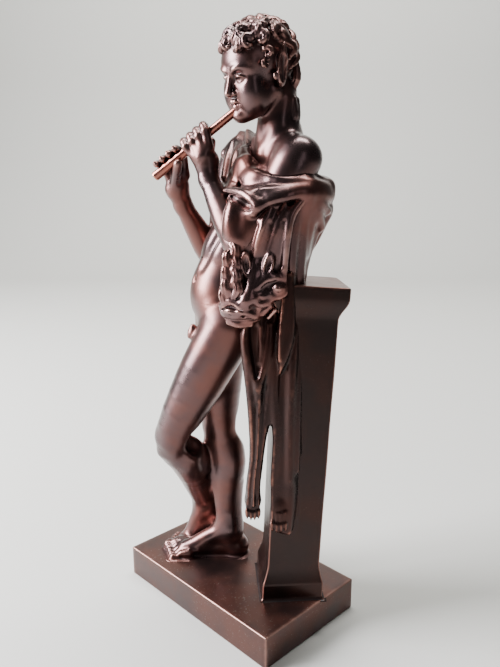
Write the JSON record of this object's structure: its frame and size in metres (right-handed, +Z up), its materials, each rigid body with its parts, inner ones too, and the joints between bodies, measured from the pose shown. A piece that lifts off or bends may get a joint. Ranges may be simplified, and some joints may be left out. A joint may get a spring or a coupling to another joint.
{
  "type": "bronze statuette",
  "caption": "Small standing bronze of a young faun who plays a pipe, an animal skin over one arm, leaning on a square pillar on an oblong plinth.",
  "frame": {"origin": "centre of the plinth's underside", "axes": "+Z up, +X along the plinth's long side towards the pillar, +Y towards the figure's back"},
  "size_m": [0.1142, 0.075, 0.3003],
  "materials": {
    "bronze": "dark brown patinated bronze, waxed to a soft gloss, rubbed red-brown on the high edges"
  },
  "bodies": {
    "root": {"faun_statue": "bronze"}
  },
  "joints": []
}
